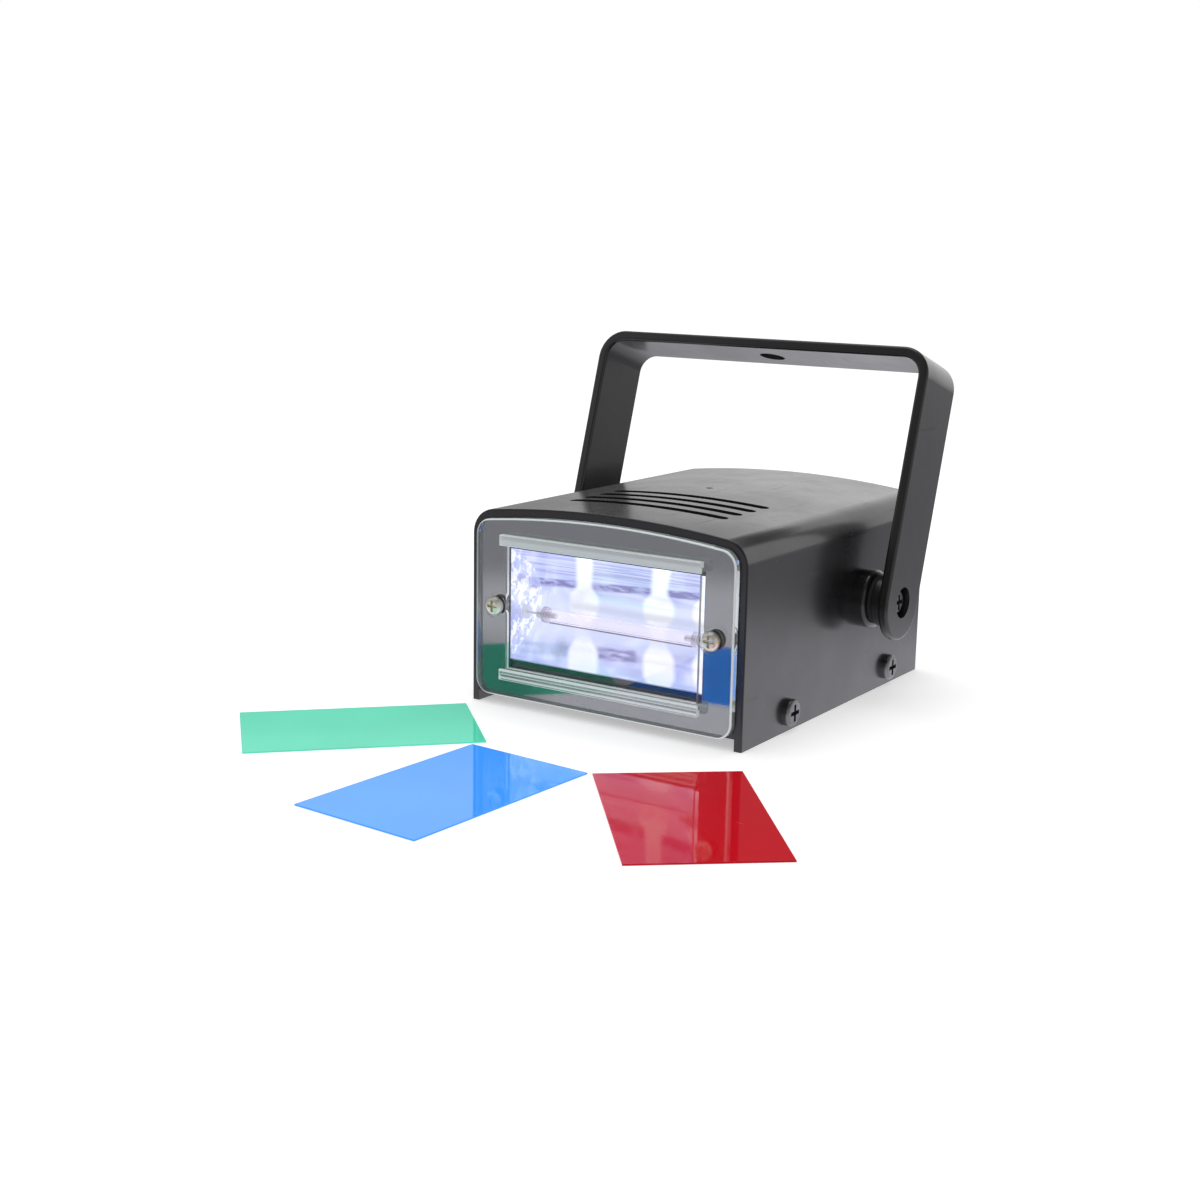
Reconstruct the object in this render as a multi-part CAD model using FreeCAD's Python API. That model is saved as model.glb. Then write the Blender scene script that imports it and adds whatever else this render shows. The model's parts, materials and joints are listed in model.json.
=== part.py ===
# Hand-sized xenon stroboscope. A moulded cover with an arched top stands on a flat base
# tray. A clear front panel with two rails closes the front, over a face plate with a
# window, and a trough reflector with a straight flash tube lies behind the window. A strap
# bracket tilts on two side bosses. Three colour filters for the rails lie in front.
#
# Millimetres, +X to the right as seen from the front, +Y to the rear, +Z up. The origin is
# the centre of the base tray's underside, on the surface that the stroboscope stands on.

import math
import os

import FreeCAD
import Part

V = FreeCAD.Vector
X_AXIS = V(1, 0, 0)
Y_AXIS = V(0, 1, 0)
Z_AXIS = V(0, 0, 1)

# Shared values
overrun = 1.0
plane_tolerance = 1e-4
thread_gap = 0.05
running_gap = 0.06

# Case
case_width = 98.0
case_depth = 124.0
case_height = 64.5
arch_rise = 3.5
corner_radius = 8.0
wall = 2.5
rim_round = 0.5
fit_gap = 0.2

# Cooling slots in the top and the moulding gate mark behind them
vent_count = 4
vent_pitch = 8.5
vent_width = 4.2
vent_first = 24.0
vent_side_margin = 20.5
gate_radius = 1.6
gate_depth = 0.3
gate_side = -3.9
gate_behind_vents = 19.0

# Clear front panel with its window recess and its two filter rails
panel_proud = 2.0
panel_inset = 0.6
panel_lift = 3.3
panel_corner = 5.0
panel_round = 0.7
window_floor = 0.8
window_side_margin = 14.3
rail_margin = 5.9
rail_height = 3.4
rail_proud = 1.9
rail_lip = 0.9
rail_overhang = 1.1
rail_round = 0.35
groove_depth = 1.7
panel_screw_share = 0.36
screw_seat_radius = 4.1
screw_seat = 0.3

# Bright face plate, dark frame behind it, and reflector
trim_thick = 0.4
trim_gap = 0.3
frame_thick = 1.2
aperture_overlap = 0.8
aperture_lip = 1.9
reflector_lift = 0.65
reflector_depth = 16.8
reflector_sheet = 0.6
reflector_flange = 5.2
reflector_end_gap = 0.1
stake_radius = 1.1
stake_head_radius = 1.7
stake_head = 1.0

# Flash tube
tube_radius = 2.1
tube_wall = 0.5
tube_end_gap = 5.5
tube_depth = 7.8
tube_drop = 4.1
electrode_radius = 0.9
electrode_reach = 6.5
seal_length = 2.4
pin_radius = 0.4
pin_past_wall = 3.4
grommet_radius = 2.3
grommet_neck = 1.7
grommet_flange = 1.0
trigger_radius = 0.25
trigger_band = 0.9
trigger_band_inset = 2.2
trigger_hole_radius = 1.0

# Screws that hold the panel, the rear panel, the cover and the board
panel_screw_radius = 1.45
panel_screw_head_radius = 3.0
panel_screw_head = 1.9
panel_head_round_share = 0.85
panel_screw_bite = 3.4
panel_hole_gap = 0.25
post_half_height = 3.4
post_side = 2.9
post_back = 0.6
post_gap = 0.3
rear_screw_inset = 5.4
rear_screw_bite = 7.0
side_screw_radius = 1.9
side_screw_head_radius = 4.2
side_screw_head = 2.4
side_screw_length = 9.5
side_screw_height = 6.0
side_screw_front = 28.5
side_screw_rear = 25.1
board_screw_radius = 1.2
board_screw_head_radius = 2.4
board_screw_head = 1.6
board_screw_length = 5.0
recess_width_share = 0.3
recess_span_share = 1.25
recess_depth_share = 0.6
head_round_share = 0.45

# Base tray
tray_thick = 2.0
tray_step_back = 14.0
tray_boss = 9.0
tray_boss_top = 11.0
tray_slot_count = 6
tray_slot_width = 3.0
tray_slot_length = 30.0
tray_slot_pitch = 8.0
standoff_height = 4.0
standoff_radius = 3.0

# Rear panel with its slots, its speed knob and its cable gland
rear_recess = 0.8
rear_thick = 2.0
rear_slot_count = 9
rear_slot_width = 2.4
rear_slot_pitch = 5.6
rear_slot_over_dial = 5.5
rear_slot_under_shoulder = 6.0
knob_side_margin = 27.0
knob_height = 22.5
gland_side_margin = 27.0
gland_height = 18.0
gland_bore = 3.0
gland_neck = 5.2
gland_flange_radius = 7.2
gland_flange = 2.2
gland_nose_radius = 4.8
gland_nose = 3.0
gland_collar_radius = 6.0
gland_collar = 2.4

# Speed potentiometer and its knob
pot_radius = 8.2
pot_depth = 8.0
pot_bush_radius = 3.4
pot_bush_length = 6.5
pot_hole_gap = 0.15
pot_washer_radius = 5.6
pot_washer = 0.5
pot_nut_flats = 9.5
pot_nut = 1.8
pot_shaft_radius = 3.0
pot_pin_radius = 0.5
pot_pin_pitch = 5.0
knob_radius = 8.0
knob_length = 12.0
knob_gap = 0.5
knob_skirt = 2.4
knob_skirt_step = 1.2
knob_flutes = 18
knob_flute_radius = 0.7
knob_roof = 2.6
knob_pointer_width = 1.0
knob_pointer_depth = 0.5
knob_round = 0.6
dial_marks = 11
dial_sweep_angle = 300.0
dial_mark_gap = 1.6
dial_mark_length = 2.2
dial_mark_width = 0.7
dial_mark_height = 0.3

# Strap bracket and its pivots
bracket_arm = 80.1
strap_width = 24.2
strap_thick = 3.4
strap_bend = 9.5
strap_round = 0.9
bracket_angle = 17.0
hang_hole_radius = 4.3
pivot_from_rear = 44.5
pivot_height = 32.8
case_boss_radius = 9.5
case_boss_height = 4.4
case_boss_round = 1.5
friction_washer_radius = 7.8
friction_washer = 1.2
arm_boss_radius = 8.4
arm_boss_height = 4.2
arm_boss_round = 0.6
counterbore_radius = 5.0
counterbore_depth = 4.0
pivot_screw_radius = 2.0
pivot_screw_head_radius = 4.0
pivot_screw_head = 2.6
pivot_screw_past_nut = 1.6
pivot_nut_flats = 7.0
pivot_nut = 3.2
pivot_washer_radius = 4.6
pivot_washer = 0.8

# Circuit board and what is soldered to it
board_thick = 1.6
board_side_gap = 1.3
board_front = 33.0
board_rear_gap = 3.0
board_screw_inset = 4.2
lead_radius = 0.4
lead_foot = 2.6
flash_cap_radius = 8.0
flash_cap_height = 28.0
flash_cap_groove = 0.5
flash_cap_cap = 3.4
film_cap_length = 22.0
film_cap_width = 8.5
film_cap_height = 15.0
resistor_length = 32.0
resistor_width = 8.5
resistor_lift = 3.0
coil_radius = 5.0
coil_height = 13.0
coil_cheek = 1.4
coil_cheek_radius = 6.0
coil_base = 2.0
trigger_cap_length = 10.0
trigger_cap_width = 4.5
trigger_cap_height = 8.5
thyristor_width = 10.0
thyristor_body = 9.2
thyristor_thick = 4.4
thyristor_tab = 6.0
thyristor_tab_thick = 1.3
thyristor_hole_radius = 1.8
thyristor_lift = 3.5
diode_radius = 1.4
diode_length = 5.2
diode_lift = 0.8
diode_count = 4
diode_pitch = 4.0
diode_reach = 2.6
fuse_radius = 2.6
fuse_length = 20.0
fuse_cap_length = 4.6
fuse_cap_step = 0.15
fuse_lift = 1.2
fuse_clip_thick = 0.6
fuse_clip_width = 4.0
terminal_length = 11.0
terminal_width = 8.0
terminal_height = 10.0
terminal_way_radius = 1.6
terminal_screw_radius = 1.5
terminal_screw_depth = 3.0

# Insulated leads from the tube to the board
wire_radius = 0.8
wire_run = 4.0
arc_share = 0.45

# Places on the board. Across it, parts on the left and in the middle are shares of its width,
# and the parts of the right-hand column stand in from its right edge. Along it, all are shares
# of its length, from the front.
flash_cap_shares = ((-0.32, 0.24), (0.0, 0.24))
film_cap_shares = ((-0.26, 0.50), (-0.26, 0.66))
resistor_shares = (-0.02, 0.83)
thyristor_shares = (0.12, 0.56)
lead_pad_inset = 5.8
lead_pad_along_share = 0.13
coil_inset = 13.7
coil_along_share = 0.15
trigger_cap_along_share = 0.33
diode_inset = 12.2
diode_along_share = 0.45
fuse_inset = 10.1
fuse_along_share = 0.66
terminal_along_share = 0.93
terminal_gap = 1.6

# Colour filters: thickness, play in the rails, and how they lie in front of the case. The
# middle of the blue filter's near edge has a place of its own. The other two filters each have
# a corner close to one end of that edge.
filter_thick = 0.4
filter_side_gap = 0.3
filter_groove_gap = 0.2
blue_near_x = 3.4
blue_near_distance = 41.7
blue_angle = 86.8
green_corner_x = 1.6
green_corner_y = 4.6
green_angle = 46.2
red_corner_x = 1.4
red_corner_y = 0.3
red_angle = -50.2

# Worked-out planes and places
half_width = case_width / 2
inner_half = half_width - wall
front = -case_depth / 2
rear = case_depth / 2
shoulder = case_height - arch_rise
arch_radius = (half_width**2 + arch_rise**2) / (2 * arch_rise)
arch_centre = case_height - arch_radius
corner_x = half_width - corner_radius
corner_z = arch_centre + math.sqrt((arch_radius - corner_radius) ** 2 - corner_x**2)

panel_half = inner_half - fit_gap
panel_front = front - panel_proud
panel_back = front + panel_inset
trim_back = panel_back + trim_thick
frame_back = trim_back + frame_thick
window_half = half_width - window_side_margin
rail_half = window_half + rail_overhang
rail_top = shoulder - rail_margin
rail_bottom = panel_lift + rail_margin
window_top = rail_top - rail_height
window_bottom = rail_bottom + rail_height
window_middle = (window_top + window_bottom) / 2
groove_top = window_top + groove_depth
groove_bottom = window_bottom - groove_depth
panel_screw_x = window_half + panel_screw_share * (panel_half - window_half)
screw_seat_y = panel_front + screw_seat

aperture_half = window_half + aperture_overlap
aperture_middle = window_middle + reflector_lift
aperture_half_height = (window_top - window_bottom) / 2 - aperture_lip
aperture_top = aperture_middle + aperture_half_height
aperture_bottom = aperture_middle - aperture_half_height
trough_half = aperture_half + reflector_end_gap
trough_back = frame_back + reflector_depth + reflector_sheet
tube_y = frame_back + tube_depth
tube_z = aperture_middle - tube_drop
tube_half = trough_half - tube_end_gap
pin_end = trough_half + reflector_sheet + pin_past_wall

rear_panel_back = rear - rear_recess
rear_panel_front = rear_panel_back - rear_thick
rear_screw_x = inner_half - rear_screw_inset
knob_x = knob_side_margin - half_width
dial_inner = knob_radius + knob_skirt_step + dial_mark_gap
dial_outer = dial_inner + dial_mark_length
rear_slot_low = knob_height + dial_outer + rear_slot_over_dial
rear_slot_high = shoulder - rear_slot_under_shoulder
gland_x = half_width - gland_side_margin
side_screw_places = (front + side_screw_front, rear - side_screw_rear)
tray_half = inner_half - fit_gap
tray_boss_inner = tray_half - tray_boss

board_half = tray_boss_inner - board_side_gap
board_front_y = front + board_front
board_rear_y = rear_panel_front - board_rear_gap
board_length = board_rear_y - board_front_y
coil_x = board_half - coil_inset
terminal_x = (
    board_half - board_screw_inset - board_screw_head_radius - terminal_gap - terminal_length / 2
)
board_bottom = tray_thick + standoff_height
board_top = board_bottom + board_thick
standoff_places = [
    (side * (board_half - board_screw_inset), y)
    for side in (1, -1)
    for y in (board_front_y + board_screw_inset, board_rear_y - board_screw_inset)
]

pivot_y = rear - pivot_from_rear
boss_face = half_width + case_boss_height
arm_boss_face = boss_face + friction_washer
arm_inner = arm_boss_face + arm_boss_height
arm_outer = arm_inner + strap_thick
counterbore_floor = arm_outer - counterbore_depth
pivot_nut_inner = inner_half - pivot_washer - pivot_nut

knob_base = rear_panel_back + dial_mark_height + knob_gap
shaft_end = knob_base + knob_length - knob_roof

filter_length = 2 * (window_half + filter_side_gap)
filter_height = groove_top - groove_bottom - 2 * filter_groove_gap


# Basic shapes
def block(x0, x1, y0, y1, z0, z1):
    return Part.makeBox(x1 - x0, y1 - y0, z1 - z0, V(x0, y0, z0))


def rod_x(radius, x0, x1, y, z):
    return Part.makeCylinder(radius, x1 - x0, V(x0, y, z), X_AXIS)


def rod_y(radius, y0, y1, x, z):
    return Part.makeCylinder(radius, y1 - y0, V(x, y0, z), Y_AXIS)


def rod_z(radius, z0, z1, x, y):
    return Part.makeCylinder(radius, z1 - z0, V(x, y, z0), Z_AXIS)


def slot_z(half_length, width, z0, z1, y):
    """A slot along X with round ends, cut along Z."""
    end = half_length - width / 2
    bar = block(-end, end, y - width / 2, y + width / 2, z0, z1)
    return bar.fuse([rod_z(width / 2, z0, z1, end, y), rod_z(width / 2, z0, z1, -end, y)])


def slot_y(width, z0, z1, y0, y1, x):
    """A slot along Z with round ends, cut along Y."""
    low = z0 + width / 2
    high = z1 - width / 2
    bar = block(x - width / 2, x + width / 2, y0, y1, low, high)
    return bar.fuse([rod_y(width / 2, y0, y1, x, low), rod_y(width / 2, y0, y1, x, high)])


def turned(points, origin, axis):
    """The solid of revolution of (distance along axis, radius) points about an axis."""
    outline = Part.makePolygon([V(r, 0, a) for a, r in points] + [V(points[0][1], 0, points[0][0])])
    solid = Part.Face(outline).revolve(V(0, 0, 0), Z_AXIS, 360)
    return aimed(Part.Solid(solid) if solid.ShapeType == "Shell" else solid, origin, axis)


def aimed(shape, origin, axis):
    """Shape, modelled along +Z from zero, moved to origin and pointed along axis."""
    placed = shape.copy()
    placed.Placement = FreeCAD.Placement(origin, FreeCAD.Rotation(Z_AXIS, axis))
    return placed


def mirrored(shape):
    return shape.mirror(V(0, 0, 0), X_AXIS)


def both_sides(shape):
    return [shape, mirrored(shape)]


def hexagon(flats, height):
    corner = flats / math.sqrt(3)
    points = [
        V(corner * math.cos(math.radians(60 * n)), corner * math.sin(math.radians(60 * n)), 0)
        for n in range(7)
    ]
    return Part.Face(Part.makePolygon(points)).extrude(V(0, 0, height))


def edges_on_plane(shape, axis, place):
    """The edges of shape that lie in the plane where the coordinate axis, 0 to 2, is place."""
    return [
        e
        for e in shape.Edges
        if all(abs(v.Point[axis] - place) < plane_tolerance for v in e.Vertexes)
        and abs(e.valueAt((e.FirstParameter + e.LastParameter) / 2)[axis] - place) < plane_tolerance
    ]


def save(node, solids):
    """Writes one node as a STEP file of its separate solids."""
    shape = Part.makeCompound(solids) if len(solids) > 1 else solids[0]
    shape.exportStep(f"parts/{node}.step")


# The arched outline that the cover, the panels and the face plate share
def arched_face(inset, bottom, y, bottom_radius=0.0):
    """The case's outline, drawn in by inset, from bottom up to the arch, as a face at y."""
    half = half_width - inset
    turn = math.atan2(corner_z - arch_centre, corner_x)
    crown = arch_radius - inset
    corner = corner_radius - inset
    meet_x = crown * math.cos(turn)
    meet_z = arch_centre + crown * math.sin(turn)
    mid_x = corner_x + corner * math.cos(turn / 2)
    mid_z = corner_z + corner * math.sin(turn / 2)
    foot = bottom_radius * (1 - math.sqrt(0.5))
    edges = [
        Part.LineSegment(V(half, y, bottom + bottom_radius), V(half, y, corner_z)).toShape(),
        Part.Arc(V(half, y, corner_z), V(mid_x, y, mid_z), V(meet_x, y, meet_z)).toShape(),
        Part.Arc(
            V(meet_x, y, meet_z), V(0, y, arch_centre + crown), V(-meet_x, y, meet_z)
        ).toShape(),
        Part.Arc(V(-meet_x, y, meet_z), V(-mid_x, y, mid_z), V(-half, y, corner_z)).toShape(),
        Part.LineSegment(V(-half, y, corner_z), V(-half, y, bottom + bottom_radius)).toShape(),
    ]
    if bottom_radius > 0:
        edges += [
            Part.Arc(
                V(-half, y, bottom + bottom_radius),
                V(-half + foot, y, bottom + foot),
                V(-half + bottom_radius, y, bottom),
            ).toShape(),
            Part.Arc(
                V(half - bottom_radius, y, bottom),
                V(half - foot, y, bottom + foot),
                V(half, y, bottom + bottom_radius),
            ).toShape(),
        ]
    edges.append(
        Part.LineSegment(V(-half + bottom_radius, y, bottom), V(half - bottom_radius, y, bottom)).toShape()
    )
    return Part.Face(Part.Wire(Part.__sortEdges__(edges)))


def arched_plate(inset, bottom, y0, y1, bottom_radius=0.0):
    return arched_face(inset, bottom, y0, bottom_radius).extrude(V(0, y1 - y0, 0))


# Fasteners
def cross_screw(head_radius, head_height, shank_radius, length, round_share=head_round_share):
    """A pan-head screw with a cross recess: the head above z 0, the shank below it."""
    head = Part.makeCylinder(head_radius, head_height)
    head = head.makeFillet(head_height * round_share, edges_on_plane(head, 2, head_height))
    screw = head.fuse(Part.makeCylinder(shank_radius, length, V(0, 0, -length)))
    width = head_radius * recess_width_share
    span = head_radius * recess_span_share
    floor = head_height * (1 - recess_depth_share)
    for across, along in ((width, span), (span, width)):
        arm = block(-across / 2, across / 2, -along / 2, along / 2, floor, head_height + overrun)
        screw = screw.cut(arm)
    return screw.removeSplitter()


# Casing
def make_casing_cover():
    outer = arched_plate(0, 0, front, rear)
    rims = [
        e
        for place in (front, rear)
        for e in edges_on_plane(outer, 1, place)
        if e.BoundBox.ZMax > rim_round
    ]
    outer = outer.makeFillet(rim_round, rims)
    cover = outer.cut(arched_plate(wall, -overrun, front - overrun, rear + overrun))

    boss = Part.makeCylinder(case_boss_radius, case_boss_height + wall / 2)
    boss = boss.makeFillet(case_boss_round, edges_on_plane(boss, 2, case_boss_height + wall / 2))
    boss = aimed(boss, V(half_width - wall / 2, pivot_y, pivot_height), X_AXIS)
    cover = cover.fuse(both_sides(boss) + both_sides(front_post()) + both_sides(rear_post()))

    cuts = both_sides(
        rod_x(
            pivot_screw_radius + thread_gap,
            inner_half - overrun,
            boss_face + overrun,
            pivot_y,
            pivot_height,
        )
    )
    for y in side_screw_places:
        hole_end = half_width + overrun
        hole_radius = side_screw_radius + panel_hole_gap
        cuts += both_sides(rod_x(hole_radius, inner_half - overrun, hole_end, y, side_screw_height))
    for n in range(vent_count):
        y = front + vent_first + n * vent_pitch
        half_length = half_width - vent_side_margin
        cuts.append(slot_z(half_length, vent_width, pivot_height, case_height + overrun, y))
    cuts += both_sides(panel_screw_hole())
    cuts += both_sides(rear_screw_hole())
    cuts.append(gate_mark())
    return cover.cut(cuts).removeSplitter()


def front_post():
    """The block inside the cover's side wall that takes a front screw."""
    return block(
        trough_half + reflector_sheet + post_gap,
        half_width - wall / 2,
        frame_back,
        frame_back + panel_screw_bite + post_back,
        window_middle - post_half_height,
        window_middle + post_half_height,
    )


def panel_screw_hole():
    radius = panel_screw_radius + thread_gap
    end = frame_back + panel_screw_bite + post_back / 2
    return rod_y(radius, frame_back - overrun, end, panel_screw_x, window_middle)


def rear_post():
    return block(
        rear_screw_x - post_side,
        half_width - wall / 2,
        rear_panel_front - rear_screw_bite - post_back,
        rear_panel_front,
        pivot_height - post_half_height,
        pivot_height + post_half_height,
    )


def rear_screw_hole():
    radius = panel_screw_radius + thread_gap
    start = rear_panel_front - rear_screw_bite - post_back / 2
    return rod_y(radius, start, rear_panel_front + overrun, rear_screw_x, pivot_height)


def gate_mark():
    """The shallow dimple that the moulding gate leaves behind the cooling slots."""
    y = front + vent_first + (vent_count - 1) * vent_pitch + gate_behind_vents
    ball_radius = (gate_radius**2 + gate_depth**2) / (2 * gate_depth)
    return Part.makeSphere(ball_radius, V(gate_side, y, case_height + ball_radius - gate_depth))


def make_base_tray():
    step = front + tray_step_back
    floor = block(-tray_half, tray_half, step, rear_panel_front, 0, tray_thick)
    riser = block(-tray_half, tray_half, step, step + tray_thick, 0, panel_lift + tray_thick)
    ledge = block(-tray_half, tray_half, frame_back, step + tray_thick, panel_lift, panel_lift + tray_thick)
    bosses = []
    holes = []
    for y in side_screw_places:
        corner = block(
            tray_boss_inner, tray_half, y - tray_boss / 2, y + tray_boss / 2, 0, tray_boss_top
        )
        bosses += both_sides(corner)
        hole_start = tray_half - side_screw_length
        hole_radius = side_screw_radius + thread_gap
        holes += both_sides(
            rod_x(hole_radius, hole_start, tray_half + overrun, y, side_screw_height)
        )
    for x, y in standoff_places:
        bosses.append(rod_z(standoff_radius, tray_thick / 2, board_bottom, x, y))
        holes.append(rod_z(board_screw_radius + thread_gap, tray_thick, board_bottom + overrun, x, y))
    for n in range(tray_slot_count):
        y = (n - (tray_slot_count - 1) / 2) * tray_slot_pitch
        holes.append(slot_z(tray_slot_length / 2, tray_slot_width, -overrun, tray_thick + overrun, y))
    return floor.fuse([riser, ledge] + bosses).cut(holes).removeSplitter()


def make_rear_panel():
    panel = arched_plate(wall + fit_gap, fit_gap, rear_panel_front, rear_panel_back)
    start = rear_panel_front - overrun
    end = rear_panel_back + overrun
    hole_radius = panel_screw_radius + panel_hole_gap
    cuts = both_sides(rod_y(hole_radius, start, end, rear_screw_x, pivot_height))
    cuts.append(rod_y(pot_bush_radius + pot_hole_gap, start, end, knob_x, knob_height))
    cuts.append(rod_y(gland_neck + thread_gap, start, end, gland_x, gland_height))
    for n in range(rear_slot_count):
        x = (n - (rear_slot_count - 1) / 2) * rear_slot_pitch
        cuts.append(slot_y(rear_slot_width, rear_slot_low, rear_slot_high, start, end, x))
    marks = []
    for n in range(dial_marks):
        turn = -dial_sweep_angle / 2 + n * dial_sweep_angle / (dial_marks - 1)
        mark = block(
            -dial_mark_width / 2,
            dial_mark_width / 2,
            rear_panel_back - rear_thick / 2,
            rear_panel_back + dial_mark_height,
            dial_inner,
            dial_outer,
        )
        mark.rotate(V(0, 0, 0), Y_AXIS, turn)
        mark.translate(V(knob_x, 0, knob_height))
        marks.append(mark)
    return panel.cut(cuts).fuse(marks).removeSplitter()


# Front assembly
def make_front_panel():
    plate = arched_plate(wall + fit_gap, panel_lift, panel_front, panel_back, panel_corner)
    plate = plate.makeFillet(panel_round, edges_on_plane(plate, 1, panel_front))
    recess = block(
        -window_half,
        window_half,
        panel_front - overrun,
        panel_back - window_floor,
        window_bottom,
        window_top,
    )
    hole_radius = panel_screw_radius + panel_hole_gap
    start = panel_front - overrun
    holes = both_sides(rod_y(hole_radius, start, panel_back + overrun, panel_screw_x, window_middle))
    holes += both_sides(rod_y(screw_seat_radius, start, screw_seat_y, panel_screw_x, window_middle))
    plate = plate.cut([recess] + holes)
    lower = filter_rail()
    upper = lower.mirror(V(0, 0, window_middle), Z_AXIS)
    return plate.fuse([lower, upper]).removeSplitter()


def filter_rail():
    """The lower rail: a wall below the filter's edge, with a lip in front of it."""
    rail_front = panel_front - rail_proud
    bar = block(-rail_half, rail_half, rail_front, panel_front, rail_bottom, window_bottom)
    corners = [
        e for e in edges_on_plane(bar, 1, rail_front) if e.BoundBox.XLength > rail_half
    ]
    bar = bar.makeFillet(rail_round, corners)
    groove = block(
        -rail_half - overrun,
        rail_half + overrun,
        rail_front + rail_lip,
        panel_front,
        groove_bottom,
        window_bottom + overrun,
    )
    return bar.cut(groove)


def make_face_plate():
    plate = arched_plate(wall + trim_gap, panel_lift, panel_back, trim_back, panel_corner)
    start = panel_back - overrun
    end = trim_back + overrun
    window = block(-aperture_half, aperture_half, start, end, window_bottom, window_top)
    hole_radius = panel_screw_radius + panel_hole_gap
    holes = both_sides(rod_y(hole_radius, start, end, panel_screw_x, window_middle))
    return plate.cut([window] + holes)


def stake_places():
    return [
        (side * trough_half / 2, z)
        for side in (1, -1)
        for z in (aperture_top + reflector_flange / 2, aperture_bottom - reflector_flange / 2)
    ]


def make_reflector_frame():
    plate = arched_plate(wall + fit_gap, panel_lift, trim_back, frame_back)
    start = trim_back - overrun
    end = frame_back + overrun
    aperture = block(-aperture_half, aperture_half, start, end, aperture_bottom, aperture_top)
    hole_radius = panel_screw_radius + panel_hole_gap
    holes = both_sides(rod_y(hole_radius, start, end, panel_screw_x, window_middle))
    pins = [
        rod_y(stake_radius, trim_back + frame_thick / 2, frame_back + reflector_sheet, x, z)
        for x, z in stake_places()
    ]
    heads = [stake_head_at(x, z) for x, z in stake_places()]
    return plate.cut([aperture] + holes).fuse(pins + heads).removeSplitter()


def stake_head_at(x, z):
    """The melted head of a frame pin, which holds the reflector's flange."""
    start = frame_back + reflector_sheet
    head = Part.makeCylinder(stake_head_radius, stake_head)
    head = head.makeFillet(stake_head * head_round_share, edges_on_plane(head, 2, stake_head))
    return aimed(head, V(x, start, z), Y_AXIS)


def trough_section(sheet, half_length):
    """The parabolic trough, sheet thicker than its bright inside, as a solid bar along X."""
    low = V(-half_length, frame_back, aperture_bottom - sheet)
    high = V(-half_length, frame_back, aperture_top + sheet)
    pull = V(-half_length, frame_back + 2 * (reflector_depth + sheet), aperture_middle)
    parabola = Part.BezierCurve()
    parabola.setPoles([low, pull, high])
    mouth = Part.LineSegment(high, low).toShape()
    return Part.Face(Part.Wire([parabola.toShape(), mouth])).extrude(V(2 * half_length, 0, 0))


def make_reflector():
    outer = trough_section(reflector_sheet, trough_half + reflector_sheet)
    flange = block(
        -trough_half - reflector_sheet,
        trough_half + reflector_sheet,
        frame_back,
        frame_back + reflector_sheet,
        aperture_bottom - reflector_flange,
        aperture_top + reflector_flange,
    )
    holes = [
        rod_y(stake_radius + thread_gap, frame_back - overrun, trough_back, x, z)
        for x, z in stake_places()
    ]
    holes += both_sides(
        rod_x(
            grommet_neck + thread_gap,
            trough_half - overrun,
            trough_half + reflector_sheet + overrun,
            tube_y,
            tube_z,
        )
    )
    holes.append(
        rod_y(trigger_hole_radius, tube_y, trough_back + overrun, trigger_leg_x(), tube_z)
    )
    inside = trough_section(0, trough_half)
    return outer.fuse(flange).cut([inside] + holes).removeSplitter()


# Flash tube
def make_flash_tube():
    outer = rod_x(tube_radius, -tube_half, tube_half, tube_y, tube_z)
    ends = edges_on_plane(outer, 0, tube_half) + edges_on_plane(outer, 0, -tube_half)
    outer = outer.makeFillet(tube_wall, ends)
    bore = rod_x(tube_radius - tube_wall, -tube_half - overrun, tube_half + overrun, tube_y, tube_z)
    return outer.cut(bore)


def make_electrode():
    """One electrode: its tip in the gas, its glass seal in the bore, and its pin outside."""
    seal_radius = tube_radius - tube_wall - thread_gap
    points = [
        (tube_half - electrode_reach, 0),
        (tube_half - electrode_reach, electrode_radius),
        (tube_half - seal_length, electrode_radius),
        (tube_half - seal_length, seal_radius),
        (tube_half, seal_radius),
        (tube_half, pin_radius),
        (pin_end, pin_radius),
        (pin_end, 0),
    ]
    return turned(points, V(0, tube_y, tube_z), X_AXIS)


def make_grommet():
    """A silicone grommet snapped into the reflector's end wall, round the tube's pin."""
    bore = pin_radius + thread_gap
    wall_in = trough_half
    wall_out = trough_half + reflector_sheet
    points = [
        (wall_in - grommet_flange, bore),
        (wall_in - grommet_flange, grommet_radius),
        (wall_in, grommet_radius),
        (wall_in, grommet_neck),
        (wall_out, grommet_neck),
        (wall_out, grommet_radius),
        (wall_out + grommet_flange, grommet_radius),
        (wall_out + grommet_flange, bore),
    ]
    return turned(points, V(0, tube_y, tube_z), X_AXIS)


def trigger_leg_x():
    return tube_half - trigger_band_inset


def make_trigger_wire():
    """The trigger wire: a run along the glass, a band at each end, and a leg to the rear."""
    touch = tube_radius + thread_gap
    run_z = tube_z - touch - trigger_radius - thread_gap
    run = rod_x(trigger_radius, -trigger_leg_x(), trigger_leg_x(), tube_y, run_z)
    band_radius = touch + 2 * trigger_radius + 2 * thread_gap
    bands = []
    for x in (-trigger_leg_x(), trigger_leg_x()):
        outer = rod_x(band_radius, x - trigger_band / 2, x + trigger_band / 2, tube_y, tube_z)
        inner = rod_x(touch, x - trigger_band, x + trigger_band, tube_y, tube_z)
        bands.append(outer.cut(inner))
    leg = rod_y(trigger_radius, tube_y + touch + trigger_radius, trough_back, trigger_leg_x(), tube_z)
    return run.fuse(bands + [leg]).removeSplitter()


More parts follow.
